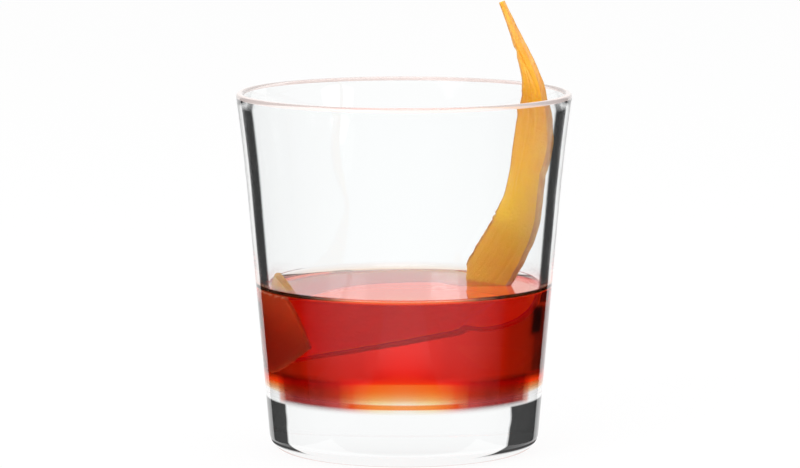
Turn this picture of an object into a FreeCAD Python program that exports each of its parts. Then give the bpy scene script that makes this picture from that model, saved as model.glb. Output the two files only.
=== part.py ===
# A sazerac in its tumbler: a thick-based rocks glass, the drink in it, and one long twist of lemon peel.
# The twist's pointed end stands above the rim. It leans on the wall, sinks into the drink, goes round the
# back under the surface and comes up again at the other side.
# Millimetres, +Z up. The glass's axis is the Z axis, its foot stands on z = 0, and -Y is its front.
import FreeCAD, Part
import math
import os

# Tumbler, outside
GLASS_HEIGHT = 90.0
RIM_RADIUS = 42.0
RIM_FLARE = 0.6          # how far the lip opens past the straight wall
FLARE_DEPTH = 28.0       # from the rim down to where the flare starts
FOOT_RADIUS = 33.5       # the straight wall, carried down to the table
HEEL_RADIUS = 4.5        # rounding between the wall and the foot

# Tumbler, inside
LIP_THICKNESS = 2.0
WALL_AT_FLARE = 2.45
WALL_AT_FLOOR = 3.2
BASE_THICKNESS = 11.4    # at the axis
FLOOR_DISH_RADIUS = 110.0
CAVITY_CORNER_RADIUS = 5.0

# Drink
DRINK_DEPTH = 29.6       # at the axis
MENISCUS_RISE = 1.3      # how far it climbs the wall
MENISCUS_REACH = 2.2     # how far from the wall it is level

# Lemon twist
TIP_STANDS = 22.6        # above the rim
ZEST_THICKNESS = 1.8     # rind and pith together
ZEST_SLIMMEST = 0.6      # thickness over width where the tip is narrower than the rind is thick
LEMON_RADIUS = 32.0      # the fruit's roundness, left across the strip
SECTIONS_PER_SPAN = 2    # cross-sections from one station to the next
TWIST_DRAWN_AT = 34.34   # inside radius at the drink's surface that the stations' insets and widths suit

# Stations along the twist's middle line, from the tip: level (0 at the cavity's floor, 1 at the drink's
# surface, 2 at the rim, 3 at the tip's top), place round the glass in degrees from +X towards +Y, distance
# in from the inside wall, width, and the way that the rind faces: degrees round and degrees up. Insets and
# widths grow and shrink with the inside of the glass, so that the twist keeps clear of the wall.
TWIST_STATIONS = (
    (3.00, 0.5, 17.3, 1.6, 250, 0),
    (2.49, -8.8, 10.9, 3.6, 256, -2),
    (2.07, -15.8, 6.2, 7.0, 232, 0),
    (1.82, -8.2, 6.0, 12.9, 221, 0),
    (1.59, -6.5, 6.9, 14.5, 213, 1),
    (1.35, -14.4, 7.9, 13.2, 231, 3),
    (1.16, -0.5, 11.3, 14.1, 236, 1),
    (1.00, 22.4, 13.3, 14.4, 229, 4),
    (0.87, 44.3, 13.0, 14.8, 230, 31),
    (0.82, 67.6, 8.0, 16.3, 249, 47),
    (0.69, 108.0, 6.8, 16.8, 281, 38),
    (0.62, 141.0, 6.2, 18.3, 317, 32),
    (0.61, 171.0, 5.3, 19.8, 350, 22),
    (0.70, 193.0, 4.6, 21.0, 373, 14),
    (0.89, 213.0, 4.4, 21.8, 394, 8),
)


def place(radius, height):
    """A point of the tumbler's half profile."""
    return FreeCAD.Vector(radius, 0, height)


def line(start, end):
    """A straight edge."""
    return Part.LineSegment(start, end).toShape()


def arc(centre, start, end):
    """The shorter arc about a centre from one point to another."""
    spoke = (start - centre).Length
    middle = (start - centre) + (end - centre)
    return Part.Arc(start, centre + middle.normalize() * spoke, end).toShape()


def revolved(edges):
    """The solid that a closed half profile makes when it turns about the glass's axis."""
    face = Part.Face(Part.Wire(Part.sortEdges(edges)[0]))
    return face.revolve(FreeCAD.Vector(), FreeCAD.Vector(0, 0, 1), 360)


class Wall:
    """One straight side of the tumbler's wall, in its half profile."""

    def __init__(self, low, high):
        """Keep two points of the line, its direction up and its normal away from the axis."""
        self.low = low
        self.up = (high - low).normalize()
        self.out = FreeCAD.Vector(self.up.z, 0, -self.up.x)

    def at(self, height):
        """The line's point at a height."""
        return self.low + self.up * ((height - self.low.z) / self.up.z)

    def radius(self, height):
        """The line's distance from the axis at a height."""
        return self.at(height).x


def outside_wall():
    """The straight outside, from the table up towards the rim."""
    return Wall(place(FOOT_RADIUS, 0), place(RIM_RADIUS - RIM_FLARE, GLASS_HEIGHT))


def inside_wall():
    """The straight inside, from the floor of the cavity to where the flare starts."""
    outside = outside_wall()
    flare = GLASS_HEIGHT - FLARE_DEPTH
    return Wall(
        place(outside.radius(BASE_THICKNESS) - WALL_AT_FLOOR, BASE_THICKNESS),
        place(outside.radius(flare) - WALL_AT_FLARE, flare),
    )


def lip_centre():
    """Centre of the lip's round top."""
    return place(RIM_RADIUS - LIP_THICKNESS / 2, GLASS_HEIGHT - LIP_THICKNESS / 2)


def flare_edge(wall, lip_radius):
    """The curve that carries a wall into the lip, and its two ends.

    It leaves the straight wall without a bend and touches the lip's round, from outside where lip_radius
    is positive and from inside where it is negative.
    """
    start = wall.at(GLASS_HEIGHT - FLARE_DEPTH)
    apart = start - lip_centre()
    bend = (apart.dot(apart) - lip_radius**2) / (2 * (lip_radius - apart.dot(wall.out)))
    centre = start + wall.out * bend
    end = lip_centre() + (centre - lip_centre()).normalize() * lip_radius
    chord = end - start
    pull = start + wall.up * (chord.dot(chord) / (2 * chord.dot(wall.up)))
    curve = Part.BezierCurve()
    curve.setPoles([start, pull, end])
    return curve.toShape(), start, end


def foot_edges(wall):
    """The flat foot and the heel, from the axis out to the wall, and where the heel ends."""
    corner = HEEL_RADIUS * (1 + wall.out.z) / wall.out.x
    heel_centre = place(FOOT_RADIUS - corner, HEEL_RADIUS)
    heel_start = place(heel_centre.x, 0)
    heel_top = heel_centre + wall.out * HEEL_RADIUS
    edges = [line(place(0, 0), heel_start), arc(heel_centre, heel_start, heel_top)]
    return edges, heel_top


def cavity_floor_edges(wall):
    """The dished floor and the rounded corner, from the axis out to the wall, and where they end."""
    dish_centre = place(0, BASE_THICKNESS + FLOOR_DISH_RADIUS)
    inward = wall.low - wall.out * CAVITY_CORNER_RADIUS - dish_centre
    along = inward.dot(wall.up)
    reach = FLOOR_DISH_RADIUS - CAVITY_CORNER_RADIUS
    down = -along - math.sqrt(along**2 - inward.dot(inward) + reach**2)
    corner_centre = dish_centre + inward + wall.up * down
    dish_end = dish_centre + (corner_centre - dish_centre).normalize() * FLOOR_DISH_RADIUS
    wall_start = corner_centre + wall.out * CAVITY_CORNER_RADIUS
    edges = [
        arc(dish_centre, place(0, BASE_THICKNESS), dish_end),
        arc(corner_centre, dish_end, wall_start),
    ]
    return edges, wall_start


def make_glass():
    """The tumbler: one revolved solid with a thick base, a tapered wall and a fire-polished lip."""
    outside = outside_wall()
    inside = inside_wall()
    foot, heel_top = foot_edges(outside)
    outer_flare, outer_start, outer_end = flare_edge(outside, LIP_THICKNESS / 2)
    inner_flare, inner_start, inner_end = flare_edge(inside, -LIP_THICKNESS / 2)
    floor, wall_start = cavity_floor_edges(inside)
    return revolved(
        foot
        + [line(heel_top, outer_start), outer_flare]
        + [Part.Arc(outer_end, place(lip_centre().x, GLASS_HEIGHT), inner_end).toShape()]
        + [inner_flare, line(inner_start, wall_start)]
        + floor
        + [line(place(0, BASE_THICKNESS), place(0, 0))]
    )


def drink_level():
    """Height of the drink's level surface above the table."""
    return BASE_THICKNESS + DRINK_DEPTH


def make_full_drink():
    """The drink as it fills the cavity, with the curved edge where it climbs the wall."""
    wall = inside_wall()
    floor, wall_start = cavity_floor_edges(wall)
    top = wall.at(drink_level() + MENISCUS_RISE)
    level_end = place(top.x - MENISCUS_REACH, drink_level())
    curve_radius = (MENISCUS_REACH**2 + MENISCUS_RISE**2) / (2 * MENISCUS_RISE)
    curve_centre = place(level_end.x, drink_level() + curve_radius)
    return revolved(
        floor
        + [line(wall_start, top), arc(curve_centre, top, level_end)]
        + [line(level_end, place(0, drink_level())), line(place(0, drink_level()), place(0, BASE_THICKNESS))]
    )


def height_of(level):
    """Height at a station's level: 0 cavity floor, 1 drink's surface, 2 rim, 3 tip of the twist."""
    marks = (BASE_THICKNESS, drink_level(), GLASS_HEIGHT, GLASS_HEIGHT + TIP_STANDS)
    below = min(int(level), len(marks) - 2)
    return marks[below] + (level - below) * (marks[below + 1] - marks[below])


def heading(around, up):
    """The unit vector that points a number of degrees round the glass and a number of degrees up."""
    level = math.cos(math.radians(up))
    return FreeCAD.Vector(
        level * math.cos(math.radians(around)),
        level * math.sin(math.radians(around)),
        math.sin(math.radians(up)),
    )


def smooth_through(points):
    """A smooth curve that passes its points at the parameters 0, 1, 2 and so on."""
    curve = Part.BSplineCurve()
    curve.interpolate(Points=points, Parameters=[float(index) for index in range(len(points))])
    return curve


def strip_section(middle, across, rind, width):
    """One cross-section of the peel: a curved strip with rounded edges, its rind on the convex side."""
    thickness = min(ZEST_THICKNESS, ZEST_SLIMMEST * width)
    half = width / 2 - thickness / 2
    sag = LEMON_RADIUS - math.sqrt(LEMON_RADIUS**2 - half**2)

    def spot(side, depth):
        """A point of the section, side from -1 to 1 across it and depth from -1 pith to 1 rind."""
        return middle + across * (side * half) + rind * (depth * thickness / 2 - sag * side**2)

    def end(side):
        """The middle of a rounded edge."""
        return spot(side, 0) + across * (side * thickness / 2)

    return Part.Wire(
        [
            Part.Arc(spot(-1, 1), spot(0, 1), spot(1, 1)).toShape(),
            Part.Arc(spot(1, 1), end(1), spot(1, -1)).toShape(),
            Part.Arc(spot(1, -1), spot(0, -1), spot(-1, -1)).toShape(),
            Part.Arc(spot(-1, -1), end(-1), spot(-1, 1)).toShape(),
        ]
    )


def make_twist():
    """The peel: a loft through cross-sections that turn as the strip winds round the inside wall."""
    wall = inside_wall()
    fit = wall.radius(drink_level()) / TWIST_DRAWN_AT
    middles = []
    facings = []
    widths = []
    for number, station in enumerate(TWIST_STATIONS):
        level, around, inset, width, faces_round, faces_up = station
        height = height_of(level)
        reach = wall.radius(height) - inset * fit
        middles.append(heading(around, 0) * reach + FreeCAD.Vector(0, 0, height))
        facings.append(heading(faces_round, faces_up))
        widths.append(FreeCAD.Vector(width * fit, number, 0))
    middle_line = smooth_through(middles)
    facing_line = smooth_through(facings)
    width_line = smooth_through(widths)
    sections = []
    for step in range((len(TWIST_STATIONS) - 1) * SECTIONS_PER_SPAN + 1):
        along = step / SECTIONS_PER_SPAN
        forward = middle_line.getD1(along)[1].normalize()
        facing = facing_line.value(along)
        rind = (facing - forward * facing.dot(forward)).normalize()
        across = forward.cross(rind)
        sections.append(strip_section(middle_line.value(along), across, rind, width_line.value(along).x))
    return Part.makeLoft(sections, True, False)


def main():
    """Build the pieces and write one STEP file for each."""
    twist = make_twist()
    pieces = {
        "glass": make_glass(),
        "drink": make_full_drink().cut(twist),
        "lemon_twist": twist,
    }
    os.makedirs("parts", exist_ok=True)
    for name, shape in pieces.items():
        shape.exportStep(f"parts/{name}.step")


main()
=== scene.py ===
"""A sazerac in its rocks glass: a thick clear tumbler, the amber-red drink and one long twist of lemon peel.

Lengths in the classes are millimetres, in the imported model's frame: +Z up along the glass's axis, the foot
on z = 0 and -Y the front. Meshes are written in metres.
"""

from __future__ import annotations

import logging
import math
from collections.abc import Sequence
from dataclasses import dataclass
from enum import Enum

import bpy
import numpy as np
from mathutils import Matrix, Vector, noise

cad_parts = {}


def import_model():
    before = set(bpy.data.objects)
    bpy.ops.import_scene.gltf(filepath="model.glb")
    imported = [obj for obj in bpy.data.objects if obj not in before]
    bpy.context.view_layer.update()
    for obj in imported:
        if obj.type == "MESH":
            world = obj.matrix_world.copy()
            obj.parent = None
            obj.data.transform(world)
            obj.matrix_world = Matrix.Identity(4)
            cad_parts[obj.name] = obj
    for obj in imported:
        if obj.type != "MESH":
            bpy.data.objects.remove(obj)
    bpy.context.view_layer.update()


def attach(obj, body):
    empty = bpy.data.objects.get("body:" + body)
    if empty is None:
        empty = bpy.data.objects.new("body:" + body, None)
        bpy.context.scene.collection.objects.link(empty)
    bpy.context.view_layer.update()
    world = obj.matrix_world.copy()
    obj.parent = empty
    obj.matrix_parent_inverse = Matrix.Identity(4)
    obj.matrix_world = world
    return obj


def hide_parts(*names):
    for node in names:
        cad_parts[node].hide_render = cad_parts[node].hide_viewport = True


LOG = logging.getLogger("sazerac")
MM = 0.001
WHITE = (1.0, 1.0, 1.0, 1.0)
POLE = 1e-6
FREE_SURFACE = "free_surface"
STRIP_MAP = "strip_mm"

Point2 = tuple[float, float]
Rings = list[Point2]
Colour = tuple[float, float, float, float]
Share = tuple[float, float, float]
Socket = bpy.types.NodeSocket
Tree = bpy.types.NodeTree
Material = bpy.types.Material
Piece = bpy.types.Object


# ---- colour, nodes ----


def srgb(hex_code: str) -> Colour:
    """Turn an sRGB hex colour into linear values.

    Args:
        hex_code: Six hex digits, such as "F2B84A".

    Returns:
        Linear red, green, blue and an alpha of 1.
    """
    channels = [int(hex_code[i : i + 2], 16) / 255 for i in (0, 2, 4)]
    linear = [c / 12.92 if c <= 0.04045 else ((c + 0.055) / 1.055) ** 2.4 for c in channels]
    return (*linear, 1.0)


def add_node(
    tree: Tree,
    kind: str,
    inputs: dict[str | int, object] | None = None,
    out: str | int = 0,
    stops: Sequence[tuple[float, Colour]] = (),
    **settings: object,
) -> Socket | None:
    """Add one node with its settings, values and links.

    Args:
        tree: The node tree that gets the node.
        kind: The node's type name, less "ShaderNode".
        inputs: For each input, by name or number, either a value or the output socket to link to it.
        out: The output that is wanted, by name or number.
        stops: Place and colour of each stop, in order, where the node is a colour ramp.
        **settings: Properties of the node.

    Returns:
        The output, or none where the node has no outputs.
    """
    node = tree.nodes.new(f"ShaderNode{kind}")
    for name, value in settings.items():
        setattr(node, name, value)
    for key, value in (inputs or {}).items():
        if isinstance(value, Socket):
            tree.links.new(value, node.inputs[key])
        else:
            node.inputs[key].default_value = value
    for number, (place, colour) in enumerate(stops):
        elements = node.color_ramp.elements
        element = elements[number] if number < len(elements) else elements.new(1.0)
        element.position = place
        element.color = colour
    return node.outputs[out] if node.outputs else None


def new_material(name: str) -> tuple[Material, Tree]:
    """Make an empty node material.

    Args:
        name: The material's name.

    Returns:
        The material and its node tree.
    """
    material = bpy.data.materials.new(name)
    material.use_nodes = True
    material.node_tree.nodes.clear()
    return material, material.node_tree


# ---- profiles ----


def moved(point: Point2, *moves: tuple[Point2, float]) -> Point2:
    """Move a point.

    Args:
        point: The point.
        *moves: Directions, each with how far to go.

    Returns:
        The point after all the moves.
    """
    for way, far in moves:
        point = (point[0] + way[0] * far, point[1] + way[1] * far)
    return point


def dot(one: Point2, other: Point2) -> float:
    """The dot product of two plane vectors."""
    return one[0] * other[0] + one[1] * other[1]


def line_points(start: Point2, end: Point2, count: int) -> Rings:
    """Points along a straight run, both ends included."""
    run, rise = end[0] - start[0], end[1] - start[1]
    return [(start[0] + run * i / count, start[1] + rise * i / count) for i in range(count + 1)]


def arc_points(centre: Point2, start: Point2, end: Point2, count: int) -> Rings:
    """Points along the shorter arc about a centre.

    Args:
        centre: The arc's centre.
        start: Its first point.
        end: Its last point.
        count: How many steps it is cut into.

    Returns:
        The points, both ends included.
    """
    spokes = [moved(point, (centre, -1.0)) for point in (start, end)]
    radius = math.hypot(*spokes[0])
    first, last = (math.atan2(rise, run) for run, rise in spokes)
    sweep = (last - first + math.pi) % (2 * math.pi) - math.pi
    turns = [first + sweep * i / count for i in range(count + 1)]
    return [(centre[0] + radius * math.cos(t), centre[1] + radius * math.sin(t)) for t in turns]


def bezier_points(start: Point2, pull: Point2, end: Point2, count: int) -> Rings:
    """Points along a curve with one pull point.

    Args:
        start: The curve's first point.
        pull: The point that it leans towards.
        end: Its last point.
        count: How many steps it is cut into.

    Returns:
        The points, both ends included.
    """
    points = []
    for t in (i / count for i in range(count + 1)):
        weights = ((start, (1 - t) ** 2), (pull, 2 * t * (1 - t)), (end, t**2))
        points.append(moved((0.0, 0.0), *weights))
    return points


@dataclass(frozen=True)
class Slope:
    """A straight wall of the tumbler in its half profile, from one point up to another."""

    low: Point2
    high: Point2

    @property
    def up(self) -> Point2:
        """The unit vector along the wall."""
        run, rise = self.high[0] - self.low[0], self.high[1] - self.low[1]
        return (run / math.hypot(run, rise), rise / math.hypot(run, rise))

    @property
    def out(self) -> Point2:
        """The unit normal away from the axis."""
        return (self.up[1], -self.up[0])

    def at(self, height: float) -> Point2:
        """The wall's point at a height."""
        return (self.low[0] + self.up[0] * (height - self.low[1]) / self.up[1], height)


# ---- mesh making ----


def mesh_object(
    name: str,
    vertices: np.ndarray | Sequence[Sequence[float]],
    faces: Sequence[Sequence[int]],
    materials: Sequence[Material],
    face_slots: Sequence[int] = (),
) -> Piece:
    """Make a smooth-shaded mesh object from points in millimetres.

    Args:
        name: The object's and the mesh's name.
        vertices: Points in millimetres.
        faces: Vertex numbers of each face.
        materials: The object's materials.
        face_slots: Each face's material number, or nothing for all on the first.

    Returns:
        The object, linked to the scene.
    """
    mesh = bpy.data.meshes.new(name)
    mesh.from_pydata([tuple(float(c) * MM for c in v) for v in vertices], [], faces)
    for material in materials:
        mesh.materials.append(material)
    if len(face_slots):
        mesh.polygons.foreach_set("material_index", list(face_slots))
    mesh.polygons.foreach_set("use_smooth", [True] * len(mesh.polygons))
    mesh.update()
    obj = bpy.data.objects.new(name, mesh)
    bpy.context.scene.collection.objects.link(obj)
    return obj


def skin_faces(rings: Sequence[range]) -> list[tuple[int, ...]]:
    """Join rings of vertices, where a ring of one is a pole.

    Args:
        rings: The vertex numbers of each ring.

    Returns:
        The faces from each ring to the next.
    """
    faces = []
    for lower, upper in zip(rings, rings[1:]):
        count = max(len(lower), len(upper))
        for here, following in ((i, (i + 1) % count) for i in range(count)):
            corners = ((lower, here), (lower, following), (upper, following), (upper, here))
            faces.append(tuple(dict.fromkeys(ring[i % len(ring)] for ring, i in corners)))
    return faces


def lathe(
    name: str, rings: Rings, segments: int, materials: Sequence[Material], ring_slots: Sequence[int]
) -> Piece:
    """Turn a closed half profile about the Z axis.

    Args:
        name: The object's name.
        rings: Radius and height of each ring, from the lower pole round to the upper pole.
        segments: How many segments the turn has.
        materials: The object's materials.
        ring_slots: Material number of the band after each ring.

    Returns:
        The object.
    """
    vertices, numbers = [], []
    turns = [2 * math.pi * step / segments for step in range(segments)]
    for radius, height in rings:
        start = len(vertices)
        if radius < POLE:
            vertices.append((0.0, 0.0, height))
        else:
            vertices += [(radius * math.cos(turn), radius * math.sin(turn), height) for turn in turns]
        numbers.append(range(start, len(vertices)))
    return mesh_object(name, vertices, skin_faces(numbers), materials, np.repeat(ring_slots, segments))


def in_place(piece: Piece, node: str) -> None:
    """Fix a piece to the part and let it stand for a CAD node.

    Args:
        piece: The new piece.
        node: The CAD node that it replaces.
    """
    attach(piece, "root")
    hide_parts(node)
    LOG.info("%s: %d faces, replaces %s", piece.name, len(piece.data.polygons), node)


# ---- finishes ----


def place_along(tree: Tree, axis: str) -> Socket:
    """The point's place along an axis of the part, in metres."""
    return add_node(tree, "SeparateXYZ", {0: add_node(tree, "TexCoord", out="Object")}, axis)


def grain(tree: Tree, size: float | Point2, detail: float, roughness: float) -> Socket:
    """Noise of a real size.

    Args:
        tree: The node tree.
        size: Its size in millimetres, the same all ways, or across the peel's strip and along it.
        detail: The noise's octaves.
        roughness: How strong the fine ones are.

    Returns:
        The noise, from 0 to 1.
    """
    if isinstance(size, float):
        place, scale = add_node(tree, "TexCoord", out="Object"), 1 / (size * MM)
    else:
        strip = add_node(tree, "UVMap", uv_map=STRIP_MAP)
        drawn = {"Vector": strip, "Scale": (1 / size[0], 1 / size[1], 1)}
        place, scale = add_node(tree, "Mapping", drawn), 1.0
    pattern = {"Vector": place, "Scale": scale, "Detail": detail, "Roughness": roughness}
    return add_node(tree, "TexNoise", pattern)


@dataclass(frozen=True)
class PaintedEdgeShade:
    """Painted shade and warm light on a band of the glass's outside, where light crosses it at a slant.

    Clear glass on a pale field shows dark wherever it bends the view away from that field; here that dark
    is painted into the glass's colour. The stops are the slant, 0 for straight through, and the share of
    light that is left; the band is a span of heights. Lean adds to the slant towards +X and wave makes the
    painted edge uneven. A share is one number, or three where the painted light takes on the drink's colour.
    """

    low: float
    high: float
    blend: float
    stops: tuple[tuple[float, float | Share], ...]
    entering: bool = False
    lean: float = 0.0
    wave: float = 0.0
    wave_mm: float = 7.0
    reach: float = 30.0

    def colour(self, tree: Tree, height: Socket) -> Socket:
        """The band's colour for the light that crosses it one way.

        Light that leaves the glass keeps to small slants, so they are stretched for the ramp.

        Args:
            tree: The glass's node tree.
            height: The height of the point, in metres.

        Returns:
            White outside the band, and the shade inside it.
        """
        stretch = 1.0 if self.entering else 2.0
        slant = add_node(tree, "LayerWeight", {"Blend": 0.5}, "Facing")
        if self.entering:
            across, uneven = place_along(tree, "X"), grain(tree, self.wave_mm, 1.0, 0.5)
            for push, share in ((across, self.lean / (self.reach * MM)), (uneven, self.wave)):
                slant = add_node(tree, "Math", {0: push, 1: share, 2: slant}, operation="MULTIPLY_ADD")
        slant = add_node(tree, "Math", {0: slant, 1: stretch}, operation="MULTIPLY", use_clamp=True)
        shares = [(place, left if isinstance(left, tuple) else (left,) * 3) for place, left in self.stops]
        stops = [(place * stretch, (*share, 1)) for place, share in shares]
        shade = add_node(tree, "ValToRGB", {"Fac": slant}, stops=stops)
        edges = ((self.low - self.blend, self.low), (self.high + self.blend, self.high))
        spans = [{"Value": height, "From Min": clear * MM, "From Max": full * MM} for clear, full in edges]
        above, below = (add_node(tree, "MapRange", span, interpolation_type="SMOOTHSTEP") for span in spans)
        inside = add_node(tree, "Math", {0: above, 1: below}, operation="MULTIPLY")
        leaving = add_node(tree, "NewGeometry", out="Backfacing")
        this_way = add_node(tree, "Math", {0: leaving, 1: float(not self.entering)}, operation="COMPARE")
        crossing = add_node(tree, "Math", {0: inside, 1: this_way}, operation="MULTIPLY")
        return add_node(tree, "Mix", {0: crossing, 6: WHITE, 7: shade}, 2, data_type="RGBA")


# Painted shade: the clear middle of the base, with black blocks painted at both sides.
BASE_SHADE = PaintedEdgeShade(
    2.4, 13.7, 0.6, ((0.0, 1.0), (0.465, 1.0), (0.49, 0.004), (1.0, 0.004)), True, lean=0.066, wave=0.06
)
# Painted shade in the body of the drink, deeper towards both sides, below the bright middle.
DRINK_SHADE = PaintedEdgeShade(
    17.0,
    34.0,
    3.0,
    (
        (0.0, 0.85), (0.008, 0.62), (0.02, 0.46), (0.04, 0.40), (0.066, 0.30), (0.108, 0.19),
        (0.128, 0.11), (0.165, 0.09), (0.188, 0.06), (0.2, 0.012), (0.25, 0.005),
    ),
)
# Painted warm light in the middle of the drink's foot, between dark red tongues of painted shade.
TONGUE_SHADE = PaintedEdgeShade(
    15.2,
    21.0,
    2.0,
    (
        (0.025, (1.0, 0.95, 0.85)), (0.034, (1.0, 0.8, 0.4)), (0.050, (1.0, 0.68, 0.22)),
        (0.068, (0.95, 0.4, 0.12)), (0.100, (0.72, 0.08, 0.02)), (0.145, (0.3, 0.006, 0.005)),
        (0.22, (0.13, 0.002, 0.002)), (0.40, (0.08, 0.001, 0.001)), (0.50, (0.15, 0.006, 0.004)),
        (0.56, (0.6, 0.2, 0.15)), (0.60, 1.0),
    ),
    True,
)
# A painted bright orange line of light that rounds the front of the cavity's floor.
BRIM_SHADE = PaintedEdgeShade(
    15.1, 16.0, 0.4, ((0.0, (1.0, 0.16, 0.02)), (0.107, (0.9, 0.1, 0.01)), (0.157, 1.0)), True
)
# A short black bar of painted shade at the right, below the surface.
CORNER_SHADE = PaintedEdgeShade(
    32.0, 37.5, 2.0, ((0.645, 1.0), (0.70, 0.015), (0.82, 0.015), (0.9, 1.0)), True, lean=0.12, wave=0.03
)
# The climbing edge's dark line, painted shade that fades out in the middle.
MENISCUS_SHADE = PaintedEdgeShade(41.7, 42.4, 0.3, ((0.07, 1.0), (0.156, 0.1), (0.25, 0.002), (1.0, 0.001)), True)
# A painted dark band of shade that runs down inside each side of the dry wall.
WALL_SHADE = PaintedEdgeShade(36.0, 86.0, 2.0, ((0.2015, 1.0), (0.2055, 0.003), (0.2345, 0.003), (0.2385, 1.0)))
# The pale, faintly rosy line of the foot on the paper, painted into the foot's colour as shade.
SOLE_SHADE = PaintedEdgeShade(
    -5.0, 1.2, 0.5, ((0.75, 1.0), (0.93, (0.7, 0.45, 0.4)), (1.0, (0.45, 0.25, 0.2))), True
)
OUTSIDE_SHADES = (BASE_SHADE, DRINK_SHADE, TONGUE_SHADE, BRIM_SHADE, CORNER_SHADE, MENISCUS_SHADE, WALL_SHADE)


@dataclass(frozen=True)
class PressedGlass:
    """Clear soda-lime glass, pressed and fire-polished.

    The eye sees sharp refraction, a faint cool tint in the thick base and, where the wall turns away,
    the dark edge that clear glass shows against a pale field; that edge, and warm light in the drink's
    foot, are painted into the colour by the shades.
    """

    name: str
    shades: tuple[PaintedEdgeShade, ...] = ()
    tint: str = "FDFEFE"
    ior: float = 1.52
    roughness: float = 0.0
    front_gloss: float = 0.15
    clearness: float = 1.0
    ripple_mm: float = 14.0
    ripple_strength: float = 0.012

    def material(self) -> Material:
        """Build the glass with the slow ripple that pressing leaves.

        Returns:
            The material.
        """
        material, tree = new_material(self.name)
        ripple = grain(tree, self.ripple_mm, 1.0, 0.4)
        relief = {"Height": ripple, "Strength": self.ripple_strength, "Distance": 1 * MM}
        height = place_along(tree, "Z")
        colour: Socket | Colour = srgb(self.tint)
        # Each band paints its shade or warm light into the glass's colour.
        for shade in self.shades:
            layers = {0: 1.0, 6: colour, 7: shade.colour(tree, height)}
            colour = add_node(tree, "Mix", layers, 2, data_type="RGBA", blend_type="MULTIPLY")
        glass = {
            "Base Color": colour,
            "Roughness": self.roughness,
            "IOR": self.ior,
            "Transmission Weight": self.clearness,
            "Specular Tint": (self.front_gloss, self.front_gloss, self.front_gloss, 1),
            "Normal": add_node(tree, "Bump", relief),
        }
        add_node(tree, "OutputMaterial", {"Surface": add_node(tree, "BsdfPrincipled", glass)})
        return material


@dataclass(frozen=True)
class SpiritAndBitters:
    """Rye spirit reddened by bitters: clear, still, and deep red-amber where it is thick.

    The colour is absorption in the liquid, so a thin layer is orange and a thick one is red. Where it
    touches the glass the wet lining bends the light, so only the free surface does so here.
    """

    ior: float = 1.36
    absorbed: Share = (1.0, 75.0, 150.0)
    density: float = 180.0
    name: str = "spirit_and_bitters"
    # Left without its absorbing body, the drink is painted light: a glow.
    painted_glow: bool = False

    def material(self) -> Material:
        """Build the clear surface and, but for the painted glow, the absorbing body, per metre.

        Returns:
            The material.
        """
        material, tree = new_material(self.name)
        clear = {"Base Color": WHITE, "Roughness": 0.0, "IOR": self.ior, "Transmission Weight": 1.0}
        surface = add_node(tree, "BsdfPrincipled", clear)
        touching = add_node(tree, "BsdfTransparent", {"Color": WHITE})
        free = add_node(tree, "Attribute", out="Fac", attribute_name=FREE_SURFACE)
        finished = {"Surface": add_node(tree, "MixShader", {0: free, 1: touching, 2: surface})}
        if not self.painted_glow:
            colour = (*(1 - each / self.density for each in self.absorbed), 1)
            body = {"Color": colour, "Density": self.density}
            finished["Volume"] = add_node(tree, "VolumeAbsorption", body)
        add_node(tree, "OutputMaterial", finished)
        return material


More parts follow.
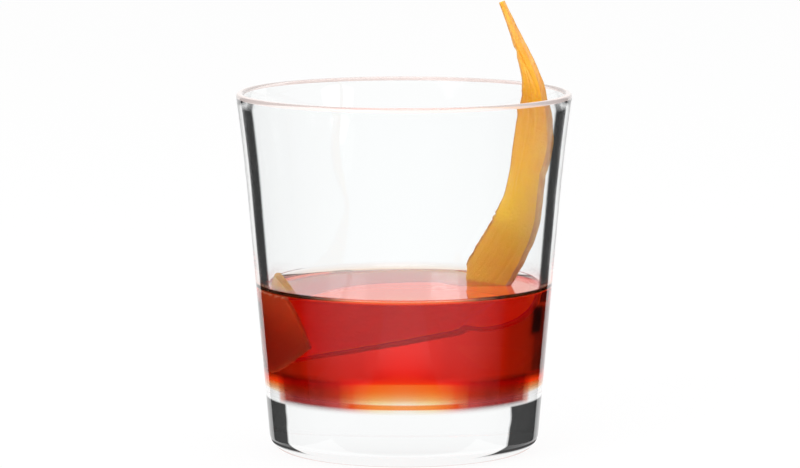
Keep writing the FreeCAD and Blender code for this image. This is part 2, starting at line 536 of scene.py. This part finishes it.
@dataclass(frozen=True)
class LemonRind:
    """The waxy, finely pitted outer skin of a lemon, cut with a knife and wet with spirit.

    The eye sees a warm yellow that leans to amber, small oil-gland pits and a soft wet gloss.
    """

    light: str = "E8B02E"
    deep: str = "DC9A28"
    olive: str = "D6A02A"
    # Painted light: brighter, yellower rind lower down, towards the drink.
    painted_light_colour: str = "FFC830"
    painted_light_span: tuple[float, float] = (84.0, 50.0)
    painted_light_share: float = 0.8
    gland_mm: float = 1.1
    streak_mm: float = 0.9
    patch_mm: float = 9.0

    def material(self) -> Material:
        """Build the rind: patches and streaks, darker oil glands, and painted light towards the drink.

        Returns:
            The material.
        """
        material, tree = new_material("lemon_rind")
        deep, light, olive = srgb(self.deep), srgb(self.light), srgb(self.olive)
        streak = grain(tree, (self.streak_mm, self.streak_mm * 14), 3.0, 0.6)
        patch = grain(tree, self.patch_mm, 2.0, 0.5)
        strip = add_node(tree, "UVMap", uv_map=STRIP_MAP)
        glands = {"Vector": strip, "Scale": 1 / self.gland_mm, "Randomness": 0.9}
        gland = add_node(tree, "TexVoronoi", glands, "Distance", feature="F1")
        pits = {"Value": gland, "From Min": 0.12, "From Max": 0.45}
        pit = add_node(tree, "MapRange", pits, interpolation_type="SMOOTHSTEP")
        patchy = add_node(tree, "ValToRGB", {0: patch}, stops=((0.32, deep), (0.52, light), (0.72, olive)))
        streaky = add_node(tree, "ValToRGB", {0: streak}, stops=((0.3, deep), (0.7, light)))
        streaked = add_node(tree, "Mix", {0: 0.45, 6: patchy, 7: streaky}, 2, data_type="RGBA")
        pitted = add_node(tree, "Mix", {0: pit, 6: deep, 7: streaked}, 2, data_type="RGBA")
        soft = add_node(tree, "Mix", {0: 0.35, 6: streaked, 7: pitted}, 2, data_type="RGBA")
        # Painted light, from none at the upper height to most at the lower.
        dull, bright = (mark * MM for mark in self.painted_light_span)
        height = place_along(tree, "Z")
        span = {"Value": height, "From Min": dull, "From Max": bright, "To Max": self.painted_light_share}
        painted_light_mask = add_node(tree, "MapRange", span, interpolation_type="SMOOTHSTEP")
        skin = add_node(tree, "Mix", {0: painted_light_mask, 6: soft, 7: srgb(self.painted_light_colour)}, 2, data_type="RGBA")
        relief = add_node(tree, "Math", {0: pit, 1: 0.35, 2: streak}, operation="MULTIPLY_ADD")
        bump = add_node(tree, "Bump", {"Height": relief, "Strength": 0.5, "Distance": 0.25 * MM})
        flesh = {
            "Base Color": skin,
            "Roughness": 0.42,
            "IOR": 1.4,
            "Subsurface Weight": 0.8,
            "Subsurface Radius": (1.0, 0.6, 0.2),
            "Subsurface Scale": 4.0 * MM,
            "Normal": bump,
        }
        add_node(tree, "OutputMaterial", {"Surface": add_node(tree, "BsdfPrincipled", flesh)})
        return material


@dataclass(frozen=True)
class LemonPith:
    """The white under the rind, cut thin and soaked a little with spirit: pale, matt and fibrous.

    Below the surface it turns redder the deeper it lies: partly a stain from the drink, partly painted light
    and shade for what reaches it through the drink.
    """

    name: str
    level: float
    pale: str = "F4CB8E"
    soaked: str = "F2A962"
    stained: str = "D65628"
    deep_stained_and_shaded: str = "D84838"
    stain_and_shade_depth: float = 13.0
    fade_low: float = 1.0
    fade_high: float = 3.5

    def material(self) -> Material:
        """Build the pith with its spongy fibres along the strip.

        Returns:
            The material.
        """
        material, tree = new_material(self.name)
        fibre = grain(tree, (1.2, 5.0), 4.0, 0.62)
        dry_stops = ((0.3, srgb(self.soaked)), (0.65, srgb(self.pale)))
        dry = add_node(tree, "ValToRGB", {0: fibre}, stops=dry_stops)
        lifted = {0: fibre, 1: 3 * MM, 2: place_along(tree, "Z")}
        uneven = add_node(tree, "Math", lifted, operation="MULTIPLY_ADD")
        rises = (-self.stain_and_shade_depth, self.fade_low, self.fade_high)
        deep, low, high = ((self.level + rise) * MM for rise in rises)
        depth = add_node(tree, "MapRange", {"Value": uneven, "From Min": deep, "From Max": high})
        fade = {"Value": uneven, "From Min": low, "From Max": high}
        above = add_node(tree, "MapRange", fade, interpolation_type="SMOOTHSTEP")
        # Redder with depth below the surface: partly stain, partly painted light and shade.
        stops = ((0.0, srgb(self.deep_stained_and_shaded)), (0.84, srgb(self.stained)), (1.0, WHITE))
        wet = add_node(tree, "ValToRGB", {0: depth}, stops=stops)
        bump = add_node(tree, "Bump", {"Height": fibre, "Strength": 0.5, "Distance": 0.3 * MM})
        flesh = {
            "Base Color": add_node(tree, "Mix", {0: above, 6: wet, 7: dry}, 2, data_type="RGBA"),
            "Roughness": 0.6,
            "IOR": 1.4,
            "Subsurface Weight": 0.7,
            "Subsurface Radius": (1.0, 0.6, 0.3),
            "Subsurface Scale": 2.5 * MM,
            "Normal": bump,
        }
        add_node(tree, "OutputMaterial", {"Surface": add_node(tree, "BsdfPrincipled", flesh)})
        return material


# ---- pieces ----


@dataclass
class Tumbler:
    """The rocks glass: a thick dished base, a tapered wall, a slight flare and a fire-polished lip."""

    height: float = 90.0
    rim_radius: float = 42.0
    rim_flare: float = 0.6
    flare_depth: float = 28.0
    foot_radius: float = 33.5
    heel_radius: float = 4.5
    lip_thickness: float = 2.0
    wall_at_flare: float = 2.45
    wall_at_floor: float = 3.2
    base_thickness: float = 11.4
    floor_dish_radius: float = 110.0
    cavity_corner_radius: float = 5.0
    seated_rings: int = 27
    segments: int = 240

    def outside(self) -> Slope:
        """The straight outside of the wall."""
        return Slope((self.foot_radius, 0.0), (self.rim_radius - self.rim_flare, self.height))

    def inside(self) -> Slope:
        """The straight inside of the wall.

        Returns:
            The wall from the cavity's floor up to the flare.
        """
        flare = self.height - self.flare_depth
        walls = ((self.base_thickness, self.wall_at_floor), (flare, self.wall_at_flare))
        return Slope(*((self.outside().at(height)[0] - thick, height) for height, thick in walls))

    def lip_centre(self) -> Point2:
        """Centre of the lip's round top."""
        return (self.rim_radius - self.lip_thickness / 2, self.height - self.lip_thickness / 2)

    def flare(self, wall: Slope, lip_radius: float) -> Rings:
        """The curve from a straight wall into the lip's round.

        Args:
            wall: The wall that it leaves without a bend.
            lip_radius: The lip's radius, negative on the inside.

        Returns:
            Points from the wall up to the lip.
        """
        start = wall.at(self.height - self.flare_depth)
        lip = self.lip_centre()
        apart = moved(start, (lip, -1.0))
        bend = (dot(apart, apart) - lip_radius**2) / (2 * (lip_radius - dot(apart, wall.out)))
        spoke = moved(apart, (wall.out, bend))
        end = moved(lip, (spoke, lip_radius / math.hypot(*spoke)))
        chord = moved(end, (start, -1.0))
        pull = moved(start, (wall.up, dot(chord, chord) / (2 * dot(chord, wall.up))))
        return bezier_points(start, pull, end, 14)

    def foot(self) -> Rings:
        """The flat foot and the heel.

        Returns:
            Points from the axis out to the wall.
        """
        wall = self.outside()
        corner = self.heel_radius * (1 + wall.out[1]) / wall.out[0]
        heel = (self.foot_radius - corner, self.heel_radius)
        heel_top = moved(heel, (wall.out, self.heel_radius))
        flat = line_points((0.0, 0.0), (heel[0], 0.0), 12)
        return flat + arc_points(heel, flat[-1], heel_top, 18)[1:]

    def cavity_floor(self, grow: float = 0.0) -> Rings:
        """The dished floor and its rounded corner.

        Args:
            grow: How far into the glass the curve is set, for what fills the cavity.

        Returns:
            Points from the axis out to the wall.
        """
        wall = self.inside()
        dish = (0.0, self.base_thickness + self.floor_dish_radius)
        inward = moved(wall.low, (wall.out, -self.cavity_corner_radius), (dish, -1.0))
        along = dot(inward, wall.up)
        reach = self.floor_dish_radius - self.cavity_corner_radius
        down = -along - math.sqrt(along**2 - dot(inward, inward) + reach**2)
        spoke = moved(inward, (wall.up, down))
        corner = moved(dish, (spoke, 1.0))
        bottom = moved(dish, (spoke, (self.floor_dish_radius + grow) / math.hypot(*spoke)))
        side = moved(corner, (wall.out, self.cavity_corner_radius + grow))
        middle = arc_points(dish, (0.0, self.base_thickness - grow), bottom, 24)
        return middle + arc_points(corner, bottom, side, 16)[1:]

    def build(self, finishes: Sequence[Material], filled_to: float) -> None:
        """Turn the whole profile and put it in place.

        Args:
            finishes: The outside's, the dry and the wet lining's, the foot's and the lip's finish.
            filled_to: Height up to which the drink wets the wall.
        """
        outside, inside = self.outside(), self.inside()
        foot, floor = self.foot(), self.cavity_floor()
        outer_flare = self.flare(outside, self.lip_thickness / 2)
        inner_flare = self.flare(inside, -self.lip_thickness / 2)
        centre, water_line = self.lip_centre(), inside.at(filled_to)
        top = (centre[0], self.height)
        turns = ((outer_flare[-1], top), (top, inner_flare[-1]))
        lip = [point for ends in turns for point in arc_points(centre, *ends, 10)[1:]]
        outer = foot + line_points(foot[-1], outer_flare[0], 24)[1:] + outer_flare[1:]
        flare_foot = inside.at(self.height - self.flare_depth)
        dry = inner_flare[::-1][1:] + line_points(flare_foot, water_line, 12)[1:]
        wet = line_points(water_line, floor[-1], 16)[1:] + floor[::-1][1:]
        bands = ((3, self.seated_rings), (0, len(outer) - 1 - self.seated_rings))
        bands += ((4, len(lip)), (1, len(dry)), (2, len(wet)))
        slots = [slot for slot, count in bands for _ in range(count)]
        piece = lathe("glass_tumbler", outer + lip + dry + wet, self.segments, finishes, slots)
        in_place(piece, "glass")


@dataclass
class Drink:
    """The spirit: level on top, climbing the wall a little and, less, the peel that stands in it."""

    tumbler: Tumbler
    depth: float = 29.6
    meniscus_rise: float = 1.3
    meniscus_reach: float = 2.2
    into_wall: float = 0.05
    # The glow fields shape the uncoloured cone below the drink's colour: painted light.
    glow_height: float = 10.4
    glow_waist: Point2 = (9.5, 4.9)
    glow_foot: float = 4.3
    glow_seam: float = 0.02
    segments: int = 288

    @property
    def level(self) -> float:
        """Height of the level surface."""
        return self.tumbler.base_thickness + self.depth

    @property
    def contact(self) -> float:
        """Height to which it climbs the wall."""
        return self.level + self.meniscus_rise

    def build(self, spirit: Material, painted_glow: Material) -> None:
        """Turn the body of the drink, set just into the wall so that no air shows between.

        Its colour ends in a hollow cone above the floor. The drink below the cone is a shell of its own that
        meets the coloured one at the pole, and is left uncoloured: painted light for a glow low in the drink.

        Args:
            spirit: The finish.
            painted_glow: The finish of the drink below the cone.
        """
        wall = self.tumbler.inside()
        floor = self.tumbler.cavity_floor(self.into_wall)
        top = wall.at(self.contact)
        sunk_top = moved(top, (wall.out, self.into_wall), (wall.up, -self.into_wall))
        edge = (top[0] - self.meniscus_reach, self.level)
        radius = (self.meniscus_reach**2 + self.meniscus_rise**2) / (2 * self.meniscus_rise)
        bottom = self.tumbler.base_thickness
        rim = next(number for number, point in enumerate(floor) if point[1] > bottom + self.glow_foot)
        waist = (self.glow_waist[0], bottom + self.glow_waist[1])
        glow = bezier_points((0.0, bottom + self.glow_height), waist, floor[rim], 32)
        below = floor[: rim + 1] + [(across, up - self.glow_seam) for across, up in glow[-2:0:-1]]
        side = below + glow + floor[rim + 1 :] + line_points(floor[-1], sunk_top, 16)[1:]
        climb = arc_points((edge[0], self.level + radius), top, edge, 14)
        surface = [top] + climb[1:] + line_points(edge, (0.0, self.level), 60)[1:]
        free = [0.0] * len(side) + [1.0] * (len(surface) - 1)
        slots = [1] * len(below) + [0] * (len(free) - len(below))
        piece = lathe("drink_spirit", side + surface, self.segments, [spirit, painted_glow], slots)
        layer = piece.data.attributes.new(FREE_SURFACE, "FLOAT", "FACE")
        layer.data.foreach_set("value", np.repeat(np.array(free, np.float32), self.segments))
        in_place(piece, "drink")


@dataclass(frozen=True)
class Station:
    """One place along the twist's middle line.

    Level is 0 at the cavity's floor, 1 at the drink's surface, 2 at the rim and 3 at the tip's top. Around is
    the place round the glass in degrees from +X towards +Y, inset the distance in from the inside wall, and
    faces_round and faces_up say in degrees which way the rind looks.
    """

    level: float
    around: float
    inset: float
    width: float
    faces_round: float
    faces_up: float


def heading(around: float, up: float) -> np.ndarray:
    """The unit vector that points a number of degrees round the glass and a number of degrees up."""
    turn, tilt = math.radians(around), math.radians(up)
    return np.array([math.cos(tilt) * math.cos(turn), math.cos(tilt) * math.sin(turn), math.sin(tilt)])


class SmoothLine:
    """A smooth curve that passes its points at the parameters 0, 1, 2 and so on."""

    def __init__(self, points: Sequence[np.ndarray]) -> None:
        """Solve for the slope at each point, so that the curve's bend has no jumps.

        Args:
            points: The points, in order.
        """
        self.points = p = np.array(points, float)
        system, right = np.eye(len(p)), np.zeros_like(p)
        right[0] = (-11 * p[0] + 18 * p[1] - 9 * p[2] + 2 * p[3]) / 6
        right[-1] = (11 * p[-1] - 18 * p[-2] + 9 * p[-3] - 2 * p[-4]) / 6
        right[1:-1] = 3 * (p[2:] - p[:-2])
        for row in range(1, len(p) - 1):
            system[row, row - 1 : row + 2] = (1, 4, 1)
        self.slopes = np.linalg.solve(system, right)

    def at(self, along: float) -> tuple[np.ndarray, np.ndarray]:
        """The curve's point and its direction.

        Args:
            along: The parameter, from 0 to the number of points less 1.

        Returns:
            The point and the derivative.
        """
        start = min(int(along), len(self.points) - 2)
        t = along - start
        p0, p1 = self.points[start : start + 2]
        m0, m1 = self.slopes[start : start + 2]
        square, cube = 3 * (p1 - p0) - 2 * m0 - m1, 2 * (p0 - p1) + m0 + m1
        return p0 + t * (m0 + t * (square + t * cube)), m0 + t * (2 * square + 3 * t * cube)


@dataclass(frozen=True)
class Nick:
    """A small bite out of one cut edge: how far along from the tip, which side, how deep and how long."""

    along: float
    side: int
    depth: float
    length: float

    def bite(self, side: float, along: float) -> float:
        """How far the edge is set in, at a share across the strip and a place along it."""
        off = (along - self.along) / self.length
        return 0.0 if side * self.side < 0 or abs(off) > 1 else self.depth * (1 - off**2) ** 2


@dataclass(frozen=True)
class Crease:
    """A groove that runs slantwise over the rind: its two ends along and across, its depth and width."""

    start: Point2
    end: Point2
    depth: float
    width: float

    def sunk(self, along: float, side: float) -> float:
        """How far the rind is set in.

        Args:
            along: Millimetres from the tip.
            side: Share across the strip, from -1 to 1.

        Returns:
            Millimetres towards the pith.
        """
        share = (along - self.start[0]) / (self.end[0] - self.start[0])
        if not 0 <= share <= 1:
            return 0.0
        off = (side - self.start[1] - share * (self.end[1] - self.start[1])) / self.width
        return self.depth * math.exp(-(off**2)) * math.sin(math.pi * share) ** 0.5


@dataclass(frozen=True)
class PeelRelief:
    """How far the peel's surface and its cut edges leave the plain strip, in millimetres."""

    pit_spacing: float = 1.5
    pit_depth: float = 0.07
    furrow_spacing: float = 0.8
    furrow_depth: float = 0.07
    wave_spacing: float = 8.0
    wave_depth: float = 0.22
    ragged_spacing: float = 3.2
    ragged_depth: float = 0.22
    creases: tuple[Crease, ...] = (
        Crease((9.0, 0.75), (30.0, -0.75), 0.16, 0.12),
        Crease((14.0, 0.3), (46.0, -0.35), 0.10, 0.08),
        Crease((60.0, -0.6), (92.0, -0.35), 0.14, 0.07),
    )
    nicks: tuple[Nick, ...] = (
        Nick(13.5, 1, 0.35, 1.6),
        Nick(61.0, 1, 0.45, 1.3),
        Nick(64.5, 1, 0.35, 1.0),
        Nick(48.0, -1, 0.3, 1.8),
    )

    def rind(self, side: float, across: float, along: float) -> float:
        """How far in the rind lies.

        Args:
            side: Share across the strip, from -1 to 1.
            across: Millimetres across the strip.
            along: Millimetres from the tip.

        Returns:
            Millimetres towards the pith.
        """
        gland = noise.voronoi(Vector((across, along, 0)) / self.pit_spacing)[0][0]
        pit = self.pit_depth * max(0.0, 1 - gland / 0.42)
        furrow = noise.noise(Vector((across / self.furrow_spacing, along / (self.furrow_spacing * 13), 5)))
        wave = noise.noise(Vector((across, along * 0.6, 9)) / self.wave_spacing)
        groove = sum(crease.sunk(along, side) for crease in self.creases)
        return pit + groove + self.furrow_depth * (0.5 + furrow) + self.wave_depth * (0.5 + wave)

    def edge(self, side: float, along: float) -> float:
        """How far in a cut edge lies, at a share across the strip and a place along it."""
        ragged = noise.noise(Vector((along / self.ragged_spacing, math.copysign(7, side), 3)))
        return self.ragged_depth * (0.5 + ragged) + sum(nick.bite(side, along) for nick in self.nicks)


@dataclass
class LemonTwist:
    """The peel: a knife-cut strip that stands out of the glass, sinks, and rounds the back to the left."""

    tumbler: Tumbler
    drink: Drink
    tip_stands: float = 22.6
    thickness: float = 1.8
    slimmest: float = 0.6
    lemon_radius: float = 32.0
    steps_per_span: int = 50
    rind_steps: int = 56
    pith_steps: int = 16
    edge_steps: int = 6
    relief: PeelRelief = PeelRelief()
    stations: tuple[Station, ...] = (
        Station(3.00, 0.5, 17.3, 1.6, 250, 0),
        Station(2.49, -8.8, 10.9, 3.6, 256, -2),
        Station(2.07, -15.8, 6.2, 7.0, 232, 0),
        Station(1.82, -8.2, 6.0, 12.9, 221, 0),
        Station(1.59, -6.5, 6.9, 14.5, 213, 1),
        Station(1.35, -14.4, 7.9, 13.2, 231, 3),
        Station(1.16, -0.5, 11.3, 14.1, 236, 1),
        Station(1.00, 22.4, 13.3, 14.4, 229, 4),
        Station(0.87, 44.3, 13.0, 14.8, 230, 31),
        Station(0.82, 67.6, 8.0, 16.3, 249, 47),
        Station(0.69, 108.0, 6.8, 16.8, 281, 38),
        Station(0.62, 141.0, 6.2, 18.3, 317, 32),
        Station(0.61, 171.0, 5.3, 19.8, 350, 22),
        Station(0.70, 193.0, 4.6, 21.0, 373, 14),
        Station(0.89, 213.0, 4.4, 21.8, 394, 8),
    )

    def height_of(self, level: float) -> float:
        """Height at a station's level."""
        floor, rim = self.tumbler.base_thickness, self.tumbler.height
        return float(np.interp(level, range(4), (floor, self.drink.level, rim, rim + self.tip_stands)))

    def lines(self) -> tuple[SmoothLine, SmoothLine, SmoothLine]:
        """Run smooth lines through the stations.

        Returns:
            The strip's middle line, the way its rind faces, and its width, all by station number.
        """
        wall = self.tumbler.inside()
        middles, facings, widths = [], [], []
        for station in self.stations:
            height = self.height_of(station.level)
            reach = wall.at(height)[0] - station.inset
            middles.append(heading(station.around, 0) * reach + np.array([0, 0, height]))
            facings.append(heading(station.faces_round, station.faces_up))
            widths.append(np.array([station.width]))
        return SmoothLine(middles), SmoothLine(facings), SmoothLine(widths)

    def section(self, width: float) -> list[tuple[float, float, int]]:
        """The strip's outline across, in its own plane.

        Args:
            width: The strip's width there.

        Returns:
            For each point, its place across, its place towards the rind, and 0 for rind, 1 for cut edge
            and 2 for pith.
        """
        thickness = min(self.thickness, self.slimmest * width)
        half = width / 2 - thickness / 2
        sag = self.lemon_radius - math.sqrt(self.lemon_radius**2 - half**2)
        points = []
        for kind, way, steps in ((0, 1, self.rind_steps), (2, -1, self.pith_steps)):
            for i in range(steps + 1):
                side = way * (2 * i / steps - 1)
                points.append((side * half, way * thickness / 2 - sag * side**2, kind))
            for i in range(1, self.edge_steps):
                turn = way * math.pi / 2 - math.pi * i / self.edge_steps
                across = way * half + math.cos(turn) * thickness / 2
                points.append((across, math.sin(turn) * thickness / 2 - sag, 1))
        return points

    def roughened(self, outline: list[tuple[float, float, int]], along: float) -> list[Point2]:
        """The same outline with the peel's relief.

        Args:
            outline: What section gives.
            along: Millimetres from the tip.

        Returns:
            For each point, its place across and its place towards the rind.
        """
        reach = max(side for side, _, _ in outline)
        fade = min(1.0, along / 6.0)
        points = []
        for across, out, kind in outline:
            side = across / reach
            trim = self.relief.edge(side, along) * abs(side) ** 3 * fade
            sunk = self.relief.rind(side, across, along) * fade if kind == 0 else 0.0
            points.append((across - math.copysign(trim, across), out - sunk * (1 - abs(side) ** 8)))
        return points

    def build(self, finishes: Sequence[Material]) -> None:
        """Sweep the section along the stations and close both ends.

        Args:
            finishes: The rind's, the knife-cut edges' and the pith's finish.
        """
        middle_line, facing_line, width_line = self.lines()
        rings, mapped, travelled, before = [], [], 0.0, None
        steps = (len(self.stations) - 1) * self.steps_per_span
        for step in range(steps + 1):
            along = step / self.steps_per_span
            middle, slope = middle_line.at(along)
            forward = slope / np.linalg.norm(slope)
            facing = facing_line.at(along)[0]
            skin = facing - forward * facing.dot(forward)
            skin /= np.linalg.norm(skin)
            across = np.cross(forward, skin)
            if before is not None:
                travelled += float(np.linalg.norm(middle - before))
            before = middle
            outline = self.section(float(width_line.at(along)[0][0]))
            kinds = [kind for _, _, kind in outline]
            points = np.array(self.roughened(outline, travelled))
            rings.append(middle + points[:, :1] * across + points[:, 1:] * skin)
            mapped += [(side, travelled) for side, _, _ in outline]
        ring = len(kinds)
        numbers = [range(ring * step, ring * (step + 1)) for step in range(steps + 1)]
        faces = [*skin_faces(numbers), tuple(numbers[0][::-1]), tuple(numbers[-1])]
        neighbours = zip(kinds, kinds[1:] + kinds[:1])
        slots = [kind if kind == following else 1 for kind, following in neighbours] * steps + [1, 1]
        twist = mesh_object("lemon_twist_peel", np.concatenate(rings), faces, finishes, slots)
        layer = twist.data.uv_layers.new(name=STRIP_MAP)
        loops = np.zeros(len(twist.data.loops), np.int32)
        twist.data.loops.foreach_get("vertex_index", loops)
        layer.data.foreach_set("uv", np.array(mapped, np.float32)[loops].ravel())
        LOG.info("the twist is %.0f mm long", travelled)
        in_place(twist, "lemon_twist")


# ---- studio ----


def seen_in_the_clear(tree: Tree) -> Socket:
    """1 for what the eye sees directly, mirrored or through glass, and 0 for light that a surface scatters.

    Args:
        tree: The node tree.

    Returns:
        The 0 or 1.
    """
    eye, mirrored, through, scattered = (
        add_node(tree, "LightPath", out=ray)
        for ray in ("Is Camera Ray", "Is Glossy Ray", "Is Transmission Ray", "Diffuse Depth")
    )
    either = add_node(tree, "Math", {0: mirrored, 1: through}, operation="MAXIMUM")
    seen = add_node(tree, "Math", {0: either, 1: eye}, operation="MAXIMUM")
    unscattered = add_node(tree, "Math", {0: scattered, 1: 0.5}, operation="LESS_THAN")
    return add_node(tree, "Math", {0: seen, 1: unscattered}, operation="MULTIPLY")


@dataclass(frozen=True)
class PaleSweep:
    """Seamless pale paper: a matt floor that shows white round the object and keeps its shadow."""

    paper: str = "F5F5F5"
    lift: float = 0.93

    def material(self) -> Material:
        """Build the paper; seen directly or in glass, it is carried most of the way to white.

        Returns:
            The material.
        """
        material, tree = new_material("pale_paper")
        share = add_node(tree, "Math", {0: seen_in_the_clear(tree), 1: self.lift}, operation="MULTIPLY")
        matt = add_node(tree, "BsdfDiffuse", {"Color": srgb(self.paper)})
        white = add_node(tree, "Emission", {"Color": WHITE, "Strength": 1.0})
        mixed = add_node(tree, "MixShader", {0: share, 1: matt, 2: white})
        add_node(tree, "OutputMaterial", {"Surface": mixed})
        return material


@dataclass(frozen=True)
class BlackFlag:
    """Black studio cloth that thins out to net along its front edge; only its reflection is seen."""

    name: str
    thinning: tuple[tuple[float, float], ...]
    round_fringe: bool = False
    span_mm: float = 400.0
    black: float = 0.01

    def material(self) -> Material:
        """Build the cloth; the stops are a place along Y, or less the distance out, and how clear it is.

        Returns:
            The material.
        """
        material, tree = new_material(self.name)
        place = add_node(tree, "TexCoord", out="Object")
        along = add_node(tree, "SeparateXYZ", {0: place}, "Y")
        if self.round_fringe:
            reach = add_node(tree, "VectorMath", {0: place}, "Value", operation="LENGTH")
            along = add_node(tree, "Math", {0: reach, 1: -1.0}, operation="MULTIPLY")
        span = {"Value": along, "From Min": -self.span_mm * MM, "From Max": 0.0}
        stops = [(1 + y / self.span_mm, (share, share, share, 1)) for y, share in self.thinning]
        clear = add_node(tree, "ValToRGB", {0: add_node(tree, "MapRange", span)}, stops=stops)
        cloth = add_node(tree, "BsdfDiffuse", {"Color": (self.black, self.black, self.black, 1)})
        net = add_node(tree, "BsdfTransparent")
        add_node(tree, "OutputMaterial", {0: add_node(tree, "MixShader", {0: clear, 1: cloth, 2: net})})
        return material


class SoftLamp(Enum):
    """A soft lamp: its direction from the object and its watts."""

    KEY = ((-0.55, -0.76, 0.55), 6.8)
    FILL = ((0.76, -0.62, 0.40), 3.2)
    TOP = ((0.10, 0.25, 1.0), 3.0)


@dataclass
class Studio:
    """A pale floor, a white surround, three soft lamps and a long lens a little above the rim."""

    floor_size: float = 8000.0
    floor_gap: float = 0.05
    ambient: float = 0.78
    flag_near: float = 38.0
    flag_reach: float = 95.0
    flag_front: float = 260.0
    flag_foot: float = 0.1
    flag_height: float = 500.0
    front_flag: float = 160.0
    lamp_distance: float = 1100.0
    lamp_size: float = 700.0
    camera_distance: float = 1300.0
    camera_tilt: float = 7.5
    mid_height: float = 45.0
    aim: tuple[float, float, float] = (-1.0, 0.0, 54.2)
    lens: float = 235.05

    def floor(self) -> None:
        """Lay the floor, a hair below the foot, as it is under a real glass."""
        half, low = self.floor_size / 2, -self.floor_gap
        corners = [(-half, -half, low), (half, -half, low), (half, half, low), (-half, half, low)]
        mesh_object("floor", corners, [(0, 1, 2, 3)], [PaleSweep().material()])

    def flags(self) -> None:
        """Set black flags that show only in the gloss: one each side gives clear glass its dark edges."""
        near, far, front = self.flag_near, self.flag_reach, -self.flag_front
        foot, top, wide = self.flag_foot, self.flag_height, self.front_flag
        side_cloth = BlackFlag("black_flag", ((-250, 1.0), (-130, 0.8), (-75, 0.55), (-40, 0.2), (-28, 0.0)))
        flags = []
        for name, side in (("flag_left", -1), ("flag_right", 1)):
            spots = [(near, front), (far, front), (far, far), (near, 0)]
            corners = [(side * x, y, foot) for x, y in spots] + [(side * x, y, top) for x, y in spots[1:3]]
            flags.append(mesh_object(name, corners, [(0, 1, 2, 3), (1, 4, 5, 2)], [side_cloth.material()]))
        corners = [(-wide, -wide, foot), (wide, -wide, foot), (wide, -near, foot), (-wide, -near, foot)]
        fringe = ((-126, 1.0), (-114, 0.65), (-105, 0.25), (-92, 0.0))
        front_cloth = BlackFlag("black_front_flag", fringe, round_fringe=True)
        flags.append(mesh_object("flag_front", corners, [(0, 1, 2, 3)], [front_cloth.material()]))
        for flag in flags:
            for ray in ("camera", "diffuse", "transmission", "shadow"):
                setattr(flag, f"visible_{ray}", False)

    def surround(self) -> None:
        """White where it is seen directly or in glass, and a plain soft light elsewhere."""
        world = bpy.data.worlds.new("surround")
        world.use_nodes = True
        tree = world.node_tree
        tree.nodes.clear()
        levels = {"Value": seen_in_the_clear(tree), "To Min": self.ambient, "To Max": 1.0}
        light = {"Color": WHITE, "Strength": add_node(tree, "MapRange", levels)}
        add_node(tree, "OutputWorld", {"Surface": add_node(tree, "Background", light)})
        bpy.context.scene.world = world

    def lamps(self) -> None:
        """Hang the soft lamps, all aimed at the middle of the glass."""
        middle = Vector((0, 0, self.mid_height)) * MM
        for kind in SoftLamp:
            direction, watts = Vector(kind.value[0]).normalized(), kind.value[1]
            data = bpy.data.lights.new(f"soft_lamp_{kind.name.lower()}", "AREA")
            data.shape = "DISK"
            data.size = self.lamp_size * MM
            data.energy = watts
            lamp = bpy.data.objects.new(data.name, data)
            lamp.location = middle + direction * self.lamp_distance * MM
            lamp.rotation_euler = direction.to_track_quat("Z", "Y").to_euler()
            lamp.visible_camera = False
            lamp.visible_glossy = kind is not SoftLamp.FILL
            bpy.context.scene.collection.objects.link(lamp)

    def camera(self) -> None:
        """Set the camera up, level across and looking slightly down."""
        data = bpy.data.cameras.new("camera")
        data.lens = self.lens
        data.sensor_width = 36.0
        data.clip_end = 50.0
        camera = bpy.data.objects.new("camera", data)
        rise = self.camera_distance * math.tan(math.radians(self.camera_tilt))
        place = Vector((0, -self.camera_distance, self.mid_height + rise)) * MM
        look = place - Vector(self.aim) * MM
        camera.matrix_world = Matrix.Translation(place) @ look.to_track_quat("Z", "Y").to_matrix().to_4x4()
        bpy.context.scene.collection.objects.link(camera)
        bpy.context.scene.camera = camera

    def build(self) -> None:
        """Set up everything that isn't the part, and let light pass through all the glass walls."""
        for step in (self.floor, self.flags, self.surround, self.lamps, self.camera):
            step()
        scene = bpy.context.scene
        scene.view_settings.view_transform = "Standard"
        scene.cycles.max_bounces = 32
        scene.cycles.transmission_bounces = 32
        scene.cycles.glossy_bounces = 16
        scene.cycles.transparent_max_bounces = 32


def main() -> None:
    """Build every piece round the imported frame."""
    logging.basicConfig(level=logging.INFO, format="%(name)s: %(message)s")
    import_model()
    Studio().build()
    tumbler = Tumbler()
    drink = Drink(tumbler)
    spirit = SpiritAndBitters()
    glass = PressedGlass("pressed_glass", OUTSIDE_SHADES, front_gloss=0.9)
    lining = PressedGlass("pressed_glass_lining")
    wet = PressedGlass("pressed_glass_wet_lining", ior=lining.ior / spirit.ior, front_gloss=1.0)
    seat = PressedGlass("pressed_glass_foot", (BASE_SHADE, SOLE_SHADE), ior=1.0)
    # The lip's matt pale pink share is painted light for the light in the rim.
    polished = PressedGlass("fire_polished_lip_painted_light", tint="EADCD8", front_gloss=0.6, clearness=0.4)
    tumbler.build([each.material() for each in (glass, lining, wet, seat, polished)], drink.contact)
    # The drink below the cone is left uncoloured, as painted light.
    drink.build(spirit.material(), SpiritAndBitters(name="spirit_uncoloured_for_painted_glow", painted_glow=True).material())
    pith = LemonPith("lemon_pith", drink.level)
    # The cut edge's stains are partly painted light and shade as well.
    cut = LemonPith("lemon_cut_edge", drink.level, "D8A55C", "BD8238", "CC5A34", "CE5038")
    LemonTwist(tumbler, drink).build([each.material() for each in (LemonRind(), cut, pith)])


if __name__ == "__main__":
    main()
